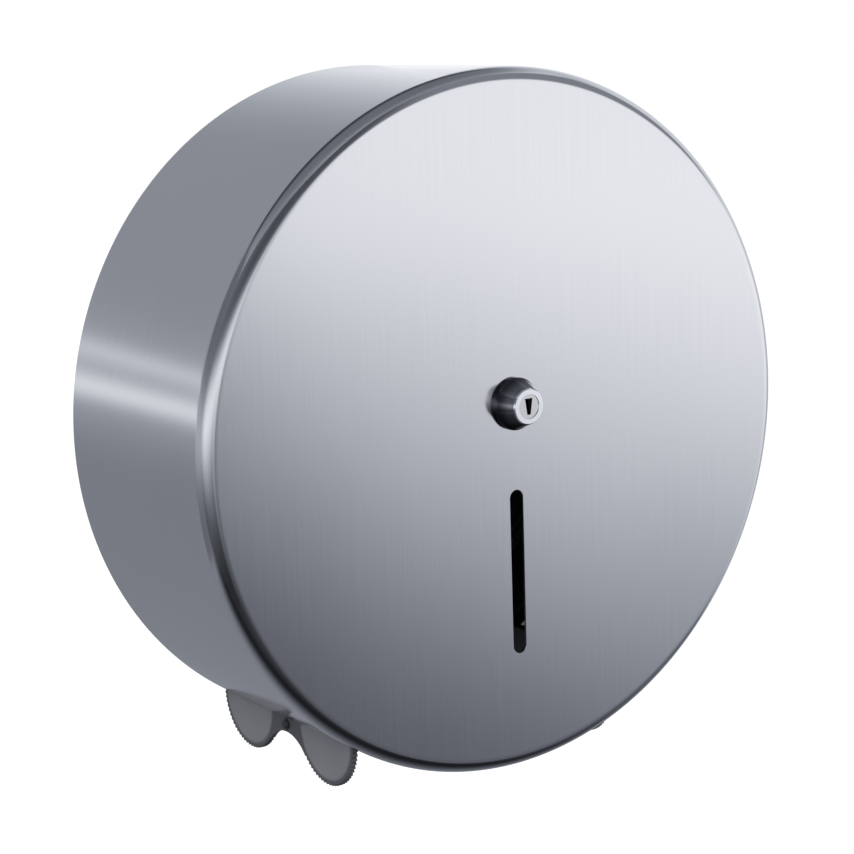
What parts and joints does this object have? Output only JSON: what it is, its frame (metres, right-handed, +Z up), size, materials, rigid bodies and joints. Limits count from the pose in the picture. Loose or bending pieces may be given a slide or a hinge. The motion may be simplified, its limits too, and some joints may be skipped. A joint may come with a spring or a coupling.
{
  "type": "jumbo toilet roll dispenser",
  "caption": "Round wall-mounted jumbo toilet roll dispenser in satin stainless: side-hinged drum cover with central cam lock, level slot, toothed cutters and a spindle with roll hub.",
  "frame": {"origin": "where the drum's axis meets the wall, at the middle of the four wall screw holes, on the back plate's rear face", "axes": "X to the right, Y into the wall so the front faces -Y, Z up"},
  "size_m": [0.3113, 0.124, 0.3069],
  "materials": {
    "satin_stainless": "satin, brushed",
    "plain_stainless": "plain rolled",
    "zinc_plated_steel": "bright zinc",
    "chrome": "polished",
    "nickel_plated_plug": "polished",
    "brass": "stamped",
    "black_steel": "black oxide",
    "grey_plastic": "moulded",
    "white_plastic": "moulded",
    "pale_grey_plastic": "moulded"
  },
  "bodies": {
    "wall_unit": {"back_plate": "satin_stainless", "hinge_leaf_fixed": "plain_stainless", "hinge_pin": "plain_stainless", "hinge_rivets_fixed": "plain_stainless", "spindle_flange": "zinc_plated_steel", "flange_rivets": "zinc_plated_steel", "spindle_post": "zinc_plated_steel", "rear_washer": "white_plastic", "front_washer": "white_plastic", "keeper_cup": "zinc_plated_steel", "keeper_plate": "zinc_plated_steel", "keeper_screw": "black_steel"},
    "cover": {"cover_shell": "satin_stainless", "hinge_leaf_moving": "plain_stainless", "hinge_rivets_moving": "plain_stainless", "lock_housing": "chrome", "lock_washer": "zinc_plated_steel", "lock_nut": "zinc_plated_steel", "cutter_left": "grey_plastic", "cutter_right": "grey_plastic", "cutter_backing_left": "black_steel", "cutter_backing_right": "black_steel", "cutter_rivets": "plain_stainless", "cutter_screws": "black_steel", "cutter_nuts": "zinc_plated_steel"},
    "lock_rotor": {"lock_plug": "nickel_plated_plug", "lock_wafers": "brass", "lock_clip": "black_steel", "lock_bar": "zinc_plated_steel", "lock_bar_screw": "black_steel"},
    "roll_hub": {"core_hub": "white_plastic", "core_adapter": "pale_grey_plastic"}
  },
  "joints": [
    {"name": "cover_swing", "type": "hinge", "parent": "wall_unit", "child": "cover", "pos_m": [0.15606, -0.00376, 0], "axis": [0, 0, 1], "range_deg": [0, 90]},
    {"name": "lock_turn", "type": "hinge", "parent": "cover", "child": "lock_rotor", "pos_m": [0, -0.11, 0.0104], "axis": [0, 1, 0], "range_deg": [0, 90]},
    {"name": "hub_spin", "type": "hinge", "parent": "wall_unit", "child": "roll_hub", "pos_m": [0, -0.045, 0.0104], "axis": [0, 1, 0], "continuous": true}
  ]
}
